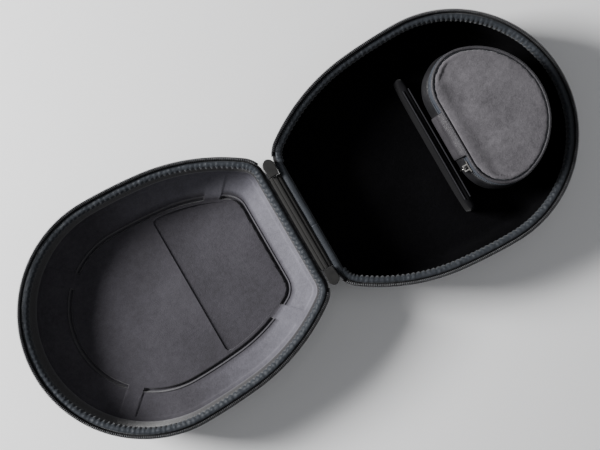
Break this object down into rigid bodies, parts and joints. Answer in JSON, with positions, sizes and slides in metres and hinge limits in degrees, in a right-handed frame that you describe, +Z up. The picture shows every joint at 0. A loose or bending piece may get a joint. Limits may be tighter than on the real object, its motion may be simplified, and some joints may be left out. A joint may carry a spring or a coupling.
{
  "type": "headphone carrying case",
  "caption": "Zipped hard-shell carrying case for large headphones, shown open flat: two moulded cups on a cloth hinge, with a removable D-shaped accessory pouch.",
  "frame": {"origin": "on the surface that both cups rest on, midway between the two cups, below the hinge", "axes": "+Z up out of the open cups; +X from the hinge to the far end of the base cup, the one that holds the pouch; the hinge runs along Y"},
  "size_m": [0.4892, 0.202, 0.076],
  "materials": {
    "shell_cloth": "matt woven cloth over moulded foam",
    "tray_suede_lid": "short napped suede cloth",
    "tray_suede_base": "short napped suede cloth",
    "divider_suede": "short napped suede cloth",
    "rim_nylon": "gathered nylon, slight sheen",
    "zip_tape": "woven tape",
    "zip_coil": "moulded nylon coil",
    "hinge_cloth": "matt cloth",
    "slider_metal": "dark matt lacquer",
    "pull_metal": "dark matt lacquer",
    "pouch_suede": "short napped suede cloth",
    "pouch_leather": "smooth soft leather",
    "pouch_piping": "smooth soft leather",
    "pouch_tape": "twill tape",
    "pouch_coil": "moulded nylon coil",
    "pouch_slider_metal": "polished plated metal"
  },
  "bodies": {
    "base": {"base_shell": "shell_cloth", "base_tray": "tray_suede_base", "divider_pad": "divider_suede", "base_rim_band": "rim_nylon", "base_zip_tape": "zip_tape", "base_zip_coil": "zip_coil", "base_hinge_flap": "hinge_cloth", "hinge_strip": "hinge_cloth"},
    "lid": {"lid_shell": "shell_cloth", "lid_tray": "tray_suede_lid", "lid_rim_band": "rim_nylon", "lid_zip_tape": "zip_tape", "lid_zip_coil": "zip_coil", "lid_hinge_flap": "hinge_cloth"},
    "zip_left": {"zip_end_left": "zip_coil", "zip_slider_left": "slider_metal"},
    "zip_right": {"zip_end_right": "zip_coil", "zip_slider_right": "slider_metal"},
    "tab_left": {"pull_tab_left": "pull_metal"},
    "tab_right": {"pull_tab_right": "pull_metal"},
    "pouch": {"pouch_cup": "pouch_suede", "pouch_tape_lower": "pouch_tape", "pouch_coil_lower": "pouch_coil", "pouch_spine": "pouch_leather"},
    "pouch_lid": {"pouch_tape_upper": "pouch_tape", "pouch_coil_upper": "pouch_coil", "pouch_top_panel": "pouch_suede", "pouch_piping": "pouch_piping"},
    "pouch_slider": {"pouch_slider": "pouch_slider_metal"},
    "pouch_pull": {"pouch_pull": "pouch_slider_metal"}
  },
  "joints": [
    {"name": "lid_hinge", "type": "hinge", "parent": "base", "child": "lid", "pos_m": [0, 0, 0.057], "axis": [0, -1, 0], "range_deg": [-180, 0], "deforming": ["hinge_strip"]},
    {"name": "zip_end_left", "type": "hinge", "parent": "base", "child": "zip_left", "pos_m": [0, 0, 0.057], "axis": [0, -1, 0], "range_deg": [-90, 0]},
    {"name": "zip_end_right", "type": "hinge", "parent": "base", "child": "zip_right", "pos_m": [0, 0, 0.057], "axis": [0, -1, 0], "range_deg": [-90, 0]},
    {"name": "tab_left_swing", "type": "hinge", "parent": "zip_left", "child": "tab_left", "pos_m": [0, 0.0492, 0.0528], "axis": [-1, 0, 0], "range_deg": [-75, 65]},
    {"name": "tab_right_swing", "type": "hinge", "parent": "zip_right", "child": "tab_right", "pos_m": [0, -0.0492, 0.0528], "axis": [1, 0, 0], "range_deg": [-75, 65]},
    {"name": "pouch_lift", "type": "slide", "parent": "base", "child": "pouch", "axis": [0, 0, 1], "range_m": [0, 0.12]},
    {"name": "pouch_lid_hinge", "type": "hinge", "parent": "pouch", "child": "pouch_lid", "pos_m": [0.13652, 0, 0.0635], "axis": [0, -1, 0], "range_deg": [0, 115], "deforming": ["pouch_spine"]},
    {"name": "pouch_slider_run", "type": "hinge", "parent": "pouch", "child": "pouch_slider", "pos_m": [0.16912, -0.0285, 0.062], "axis": [0, 0, 1], "range_deg": [0, 80]},
    {"name": "pouch_pull_swing", "type": "hinge", "parent": "pouch_slider", "child": "pouch_pull", "pos_m": [0.13422, -0.0285, 0.062], "axis": [0, 1, 0], "range_deg": [0, 95]}
  ],
  "couplings": [
    {"joint": "zip_end_left", "follows": "lid_hinge", "ratio": 0.5},
    {"joint": "zip_end_right", "follows": "lid_hinge", "ratio": 0.5}
  ]
}
